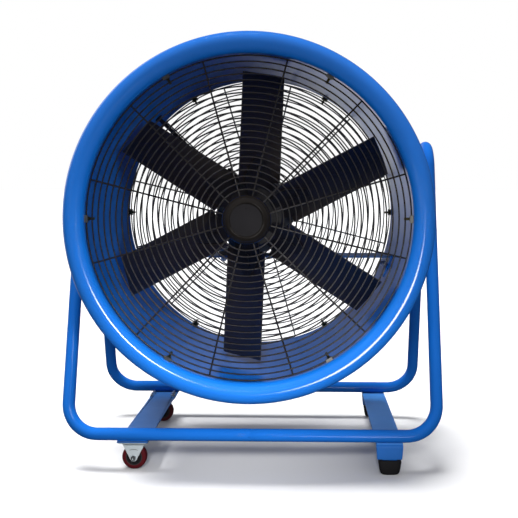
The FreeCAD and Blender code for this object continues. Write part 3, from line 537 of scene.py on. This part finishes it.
# ------------------------------------------------------------- castor wheels
for nm, cy in CAS_Y.items():
    pl = about_wheel(cy)
    body = nm + "_wheel"
    half = [(16.22, -10.0), (17.0, -10.15), (21.4, -9.9), (23.0, -9.2), (24.1, -8.0), (24.75, -6.2), (25.0, -4.0), (25.0, -1.2), (24.7, -0.8)]
    prof = half + [(r, -y) for r, y in reversed(half)]
    bm = bmesh.new()
    add_lathe(bm, prof, 96, pl)
    to_obj("wheel_tread_%s_moulded" % nm, bm, "red_tread", body, math.radians(40), ("wheel_tread_" + nm,))
    half = [(4.05, -11.4), (4.5, -11.7), (7.4, -11.7), (8.0, -11.2), (8.2, -8.4), (8.7, -7.8), (12.2, -7.4), (12.9, -7.9), (13.1, -9.6), (13.5, -10.1), (15.4, -10.1), (15.5, -9.6), (16.2, -9.5)]
    prof = half + [(r, -y) for r, y in reversed(half)]
    bm = bmesh.new()
    add_lathe(bm, prof, 96, pl)
    for s in (-1.0, 1.0):
        for k in range(10):
            a = 2 * math.pi * (k + 0.5) / 10
            d, t = Vector((math.cos(a), 0, math.sin(a))), Vector((-math.sin(a), 0, math.cos(a)))
            c = Vector((CAS_X, cy, WHEEL_R))
            p = [(7.8, 0.8), (13.2, 1.2), (13.2, -1.2), (7.8, -0.8)]
            lo = [bm.verts.new((c + d * r + t * q + Vector((0, s * 7.0, 0))) * MM) for r, q in p]
            hi = [bm.verts.new((c + d * r + t * q * 0.6 + Vector((0, s * 8.9, 0))) * MM) for r, q in p]
            bm.faces.new(hi)
            bm.faces.new(list(reversed(lo)))
            for i in range(4):
                bm.faces.new((lo[i], lo[(i + 1) % 4], hi[(i + 1) % 4], hi[i]))
    to_obj("wheel_core_%s_moulded" % nm, bm, "black_plastic", body, math.radians(40), ("wheel_core_" + nm,))
    bm = bmesh.new()
    for s in (-1.0, 1.0):
        add_lathe(bm, [(15.45, s * 9.7), (15.6, s * 10.2), (16.5, s * 10.3), (16.7, s * 9.9), (16.4, s * 9.6)], 96, pl)
    to_obj("wheel_ring_%s" % nm, bm, "core_ring", body, math.radians(60))
    # pressed arch on each fork cheek: a raised ridge drawn in the darker clip zinc, a painted shade along the crease
    bm = bmesh.new()
    for s in (-1.0, 1.0):
        for rr, w in ((13.5, 0.6),):
            line = []
            for i in range(21):
                a = math.radians(48.0 + 84.0 * i / 20.0)
                line.append((CAS_X + rr * math.cos(a), cy + s * 14.45, WHEEL_R + 6.5 + rr * math.sin(a) * 0.82))
            add_sweep(bm, line, [w * (0.25 + 0.75 * math.sin(math.pi * i / 20.0)) for i in range(21)], 10)
    to_obj("castor_crease_%s" % nm, bm, "clip_zinc", "stand", math.radians(60))
    refine("castor_fork_" + nm, 0.7, "bright_zinc", segs=3)

# ------------------------------------------------------------- rubber boots
for nm, yc in (("front", Y_BF - 4.5), ("rear", Y_BR + 4.5)):
    bm = bmesh.new()
    rows = []
    for z, hx, hy, e in ((0.0, 12.5, 5.5, 3.0), (0.25, 14.5, 6.8, 3.2), (1.4, 16.8, 8.2, 3.6), (4.0, 18.8, 9.0, 4.0), (8.0, 20.2, 9.4, 4.6), (16.0, 21.6, 9.5, 6.0),
                         (27.0, 23.2, 9.5, 6.0), (28.4, 23.1, 9.3, 6.0), (29.1, 22.5, 8.8, 6.0), (29.3, 21.8, 8.0, 6.0)):
        row = []
        for k in range(64):
            a = 2 * math.pi * k / 64
            c, s = math.cos(a), math.sin(a)
            x = math.copysign(abs(c) ** (2 / e), c) * hx
            y = math.copysign(abs(s) ** (2 / e), s) * hy
            zz = z + (1.2 * (1 - (x / hx) ** 2) - 1.2 if z > 20 else 0.0)
            row.append(bm.verts.new(((FOOT_X + x) * MM, (yc + y) * MM, zz * MM)))
        rows.append(row)
    for a, b in zip(rows, rows[1:]):
        for k in range(64):
            bm.faces.new((a[k], a[(k + 1) % 64], b[(k + 1) % 64], b[k]))
    bm.faces.new(list(reversed(rows[0])))
    bm.faces.new(rows[-1])
    to_obj("rubber_foot_%s_moulded" % nm, bm, "black_rubber", "stand", math.radians(60), ("rubber_foot_" + nm,))

# ------------------------------------------- remaining nodes, edges eased
MAT = {"blade_bolts": "black_satin", "impeller_blades": "black_blade", "motor_front_shield": "motor_grey", "front_grille_clips": "clip_zinc", "rear_grille_clips": "clip_zinc", "castor_plate": "blue_plate", "foot_bar": ["blue_foot", "blue_painted_lit_top"], "motor_plate": "blue_plate", "motor_plate_pads": "blue_inside",
       "grille_screws": "dull_brass", "impeller_hub": ["black_satin", "steel"]}


# upward faces of the foot bar take the lighter blue, a painted highlight for the overhead light
def top_face_painted_lit(f):
    return f.normal.z > 0.6


def arm_tip(f):
    """Cut edges at the tips of the hub arms, where the coating is worn."""
    c = f.calc_center_median()
    return math.hypot(c.x, c.z - AXIS_Z * MM) > 0.116 and abs(f.normal.y) < 0.5


PICK = {"impeller_hub": arm_tip, "foot_bar": top_face_painted_lit}
EASE = {"castor_plate": 0.6, "foot_bar": 0.8, "pivot_plate_left": 0.6, "pivot_plate_right": 0.6, "motor_plate": 0.6, "motor_plate_pads": 0.4,
        "pivot_boss_left": 0.7, "pivot_boss_right": 0.7, "impeller_blades": 0.7, "impeller_hub": 0.9, "hub_bolt": 0.5, "blade_bolts": 0.5,
        "motor_frame": 0.5, "motor_front_shield": 1.5, "motor_rear_shield": 1.5, "motor_feet": 1.5, "fan_cowl": 0.5, "terminal_box": 1.5,
        "terminal_box_lid": 1.0, "switch_box": 2.0, "switch_box_lid": 1.0, "switch_knob": 1.0, "cable_gland": 0.6, "mains_inlet_gland": 0.6,
        "cable_grommet": 0.5, "pivot_bolts": 0.8, "pivot_washers": 0.4, "castor_studs": 0.5, "castor_axles": 0.6, "front_grille_clips": 0.3,
        "rear_grille_clips": 0.3, "grille_screws": 0.3, "motor_plate_bolts": 0.6, "motor_foot_bolts": 0.6, "motor_shaft": 0.5}
for n, w in EASE.items():
    refine(n, w, MAT.get(n), pick=PICK.get(n))
done = set()
for o in bpy.data.objects:
    for n in o.get("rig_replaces", []):
        done.add(n)
for n, o in NODES.items():
    o.data.materials.clear()
    mt = MAT.get(n, SLOT[n])
    o.data.materials.append(M[mt if isinstance(mt, str) else mt[0]])

# ------------------------------------------------------------ floor and light
me = bpy.data.meshes.new("floor")
S = 90.0
me.from_pydata([(-S, -S, 0), (S, -S, 0), (S, S, 0), (-S, S, 0)], [], [(0, 1, 2, 3)])
floor = bpy.data.objects.new("floor", me)
scene.collection.objects.link(floor)
fm, nt, p = new_mat("floor_pale")
v = coords(nt)
nt.links.new(ramp(nt, noise(nt, v, 2.0, 4.0), [(0.2, (0.86, 0.86, 0.865)), (0.8, (0.89, 0.89, 0.89))]), p.inputs["Base Color"])
nt.links.new(span(nt, noise(nt, v, 40.0, 3.0), 0.75, 0.9), p.inputs["Roughness"])
put(p, Specular_IOR_Level=0.1)
me.materials.append(fm)
floor.visible_diffuse = False
floor.visible_glossy = False
floor.visible_shadow = False

w = bpy.data.worlds.new("studio")
scene.world = w
w.use_nodes = True
nt = w.node_tree
nt.nodes.clear()
wo = nt.nodes.new("ShaderNodeOutputWorld")
tc = nt.nodes.new("ShaderNodeTexCoord")
sep = nt.nodes.new("ShaderNodeSeparateXYZ")
nt.links.new(tc.outputs["Generated"], sep.inputs["Vector"])


def world_ramp(src, x0, x1, stops):
    m = nt.nodes.new("ShaderNodeMapRange")
    m.inputs["From Min"].default_value = x0
    m.inputs["From Max"].default_value = x1
    nt.links.new(src, m.inputs["Value"])
    return ramp(nt, m.outputs["Result"], stops)


# soft room: a pale wall ahead, lighter towards the ceiling, a window behind
# on the left
depth = world_ramp(sep.outputs["Y"], -1.0, 1.0, [(0.05, (0.20, 0.20, 0.205)), (0.50, (0.13, 0.13, 0.135)), (0.85, (0.055, 0.055, 0.06))])
high = world_ramp(sep.outputs["Z"], -1.0, 1.0, [(0.45, (0.0, 0.0, 0.0)), (0.95, (0.34, 0.34, 0.35))])
dot = nt.nodes.new("ShaderNodeVectorMath")
dot.operation = "DOT_PRODUCT"
dot.inputs[1].default_value = (-0.64, 0.72, 0.26)
nt.links.new(tc.outputs["Generated"], dot.inputs[0])
behind = world_ramp(dot.outputs["Value"], -1.0, 1.0, [(0.905, (0.0, 0.0, 0.0)), (0.975, (0.95, 0.95, 0.95))])


def plus(a, b):
    m = nt.nodes.new("ShaderNodeMix")
    m.data_type = "RGBA"
    m.blend_type = "ADD"
    m.inputs["Factor"].default_value = 1.0
    nt.links.new(a, m.inputs["A"])
    nt.links.new(b, m.inputs["B"])
    return m.outputs["Result"]


room = plus(depth, high)
bg = nt.nodes.new("ShaderNodeBackground")
nt.links.new(room, bg.inputs["Color"])
bg.inputs["Strength"].default_value = 1.0
sheen = nt.nodes.new("ShaderNodeBackground")
nt.links.new(room, sheen.inputs["Color"])
sheen.inputs["Strength"].default_value = 0.4
pane = nt.nodes.new("ShaderNodeBackground")
nt.links.new(behind, pane.inputs["Color"])
pane.inputs["Strength"].default_value = 1.0
lit = nt.nodes.new("ShaderNodeAddShader")
nt.links.new(sheen.outputs["Background"], lit.inputs[0])
nt.links.new(pane.outputs["Background"], lit.inputs[1])
glow = lit.outputs["Shader"]
# two small far windows that the drum's wall picks up at a low angle
for far, start, gain in (((-0.18, 0.975, -0.13), 0.992, 2.7), ((0.0, 0.954, 0.30), 0.985, 0.8)):
    dot = nt.nodes.new("ShaderNodeVectorMath")
    dot.operation = "DOT_PRODUCT"
    dot.inputs[1].default_value = far
    nt.links.new(tc.outputs["Generated"], dot.inputs[0])
    win = nt.nodes.new("ShaderNodeBackground")
    nt.links.new(world_ramp(dot.outputs["Value"], start, 1.0, [(0.0, (0.0, 0.0, 0.0)), (0.95, (1.0, 1.0, 1.0))]), win.inputs["Color"])
    win.inputs["Strength"].default_value = gain
    both = nt.nodes.new("ShaderNodeAddShader")
    nt.links.new(glow, both.inputs[0])
    nt.links.new(win.outputs["Background"], both.inputs[1])
    glow = both.outputs["Shader"]
white = nt.nodes.new("ShaderNodeBackground")
white.inputs["Color"].default_value = (1.0, 1.0, 1.0, 1.0)
white.inputs["Strength"].default_value = 1.0
lp = nt.nodes.new("ShaderNodeLightPath")
gl = nt.nodes.new("ShaderNodeMixShader")
nt.links.new(lp.outputs["Is Glossy Ray"], gl.inputs["Fac"])
nt.links.new(bg.outputs["Background"], gl.inputs[1])
nt.links.new(glow, gl.inputs[2])
mx = nt.nodes.new("ShaderNodeMixShader")
nt.links.new(lp.outputs["Is Camera Ray"], mx.inputs["Fac"])
nt.links.new(gl.outputs["Shader"], mx.inputs[1])
nt.links.new(white.outputs["Background"], mx.inputs[2])
nt.links.new(mx.outputs["Shader"], wo.inputs["Surface"])


def sun(name, travel, energy, spread):
    d = bpy.data.lights.new(name, "SUN")
    d.energy = energy
    d.angle = math.radians(spread)
    o = bpy.data.objects.new(name, d)
    o.rotation_euler = Vector(travel).to_track_quat("-Z", "Y").to_euler()
    scene.collection.objects.link(o)
    return o


def strip(name, a, b, width, radiance, aim, spread=40.0):
    """Long soft box from a to b, turned towards aim and gridded to spread."""
    a, b = Vector(a), Vector(b)
    d = bpy.data.lights.new(name, "AREA")
    d.shape = "RECTANGLE"
    d.size, d.size_y = (b - a).length, width
    h = math.radians(spread) / 2
    d.spread = 2 * h
    d.energy = radiance * math.pi * d.size * d.size_y
    o = bpy.data.objects.new(name, d)
    c = (a + b) / 2
    z = (c - Vector(aim)).normalized()
    x = (b - a).normalized()
    x = (x - z * x.dot(z)).normalized()
    o.matrix_world = Matrix.Translation(c) @ Matrix((x, z.cross(x), z)).transposed().to_4x4()
    scene.collection.objects.link(o)
    o.visible_camera = False
    return o


def spot(name, pos, aim, watts, cone, radius):
    d = bpy.data.lights.new(name, "SPOT")
    d.energy = watts
    d.spot_size = math.radians(cone)
    d.spot_blend = 1.0
    d.shadow_soft_size = radius
    o = bpy.data.objects.new(name, d)
    o.location = pos
    o.rotation_euler = (Vector(aim) - Vector(pos)).to_track_quat("-Z", "Y").to_euler()
    scene.collection.objects.link(o)
    o.visible_camera = False
    return o


sun("key", (0.15, 0.03, -0.985), 4.2, 25.0).visible_glossy = False
spot("low_front", (0.0, -2.2, 1.15), (0.0, -0.24, 0.28), 230.0, 20.0, 0.2).visible_glossy = False
spot("side_right", (0.75, -1.35, 0.58), (-0.30, 0.10, 0.55), 150.0, 17.5, 0.3).visible_glossy = False
spot("inside", (0.05, -1.6, 1.2), (-0.02, 0.02, 0.21), 60.0, 13.0, 0.2).visible_glossy = False
spot("side_left", (-0.75, -1.35, 0.45), (0.30, 0.10, 0.60), 80.0, 17.5, 0.3).visible_glossy = False
strip("low_right", (0.166, -1.5, -0.08), (0.460, -1.5, 0.303), 0.46, 0.48, (0.265, -0.247, 0.314))
strip("low_left_a", (0.504, -1.5, 0.675), (0.12, -1.5, 1.06), 0.12, 1.1, (-0.33, -0.247, 0.20))
strip("low_left_b", (0.604, -1.5, 0.775), (0.22, -1.5, 1.16), 0.12, 1.1, (-0.33, -0.247, 0.20))

# -------------------------------------------------------------------- camera
cd = bpy.data.cameras.new("view")
cd.sensor_fit = "HORIZONTAL"
cd.sensor_width = 36.0
F = 839.0
cd.lens = F * 36.0 / 518.0
cam = bpy.data.objects.new("view", cd)
cam.location = (0.1067, -1.8120, 0.5769)
cam.rotation_euler = (math.radians(90.0) - 0.04004, 0.0, 0.02725)
cd.shift_x, cd.shift_y = -0.0435, -0.0764
cd.clip_start, cd.clip_end = 0.01, 100.0
scene.collection.objects.link(cam)
scene.camera = cam
scene.view_settings.view_transform = "Standard"
scene.view_settings.look = "None"
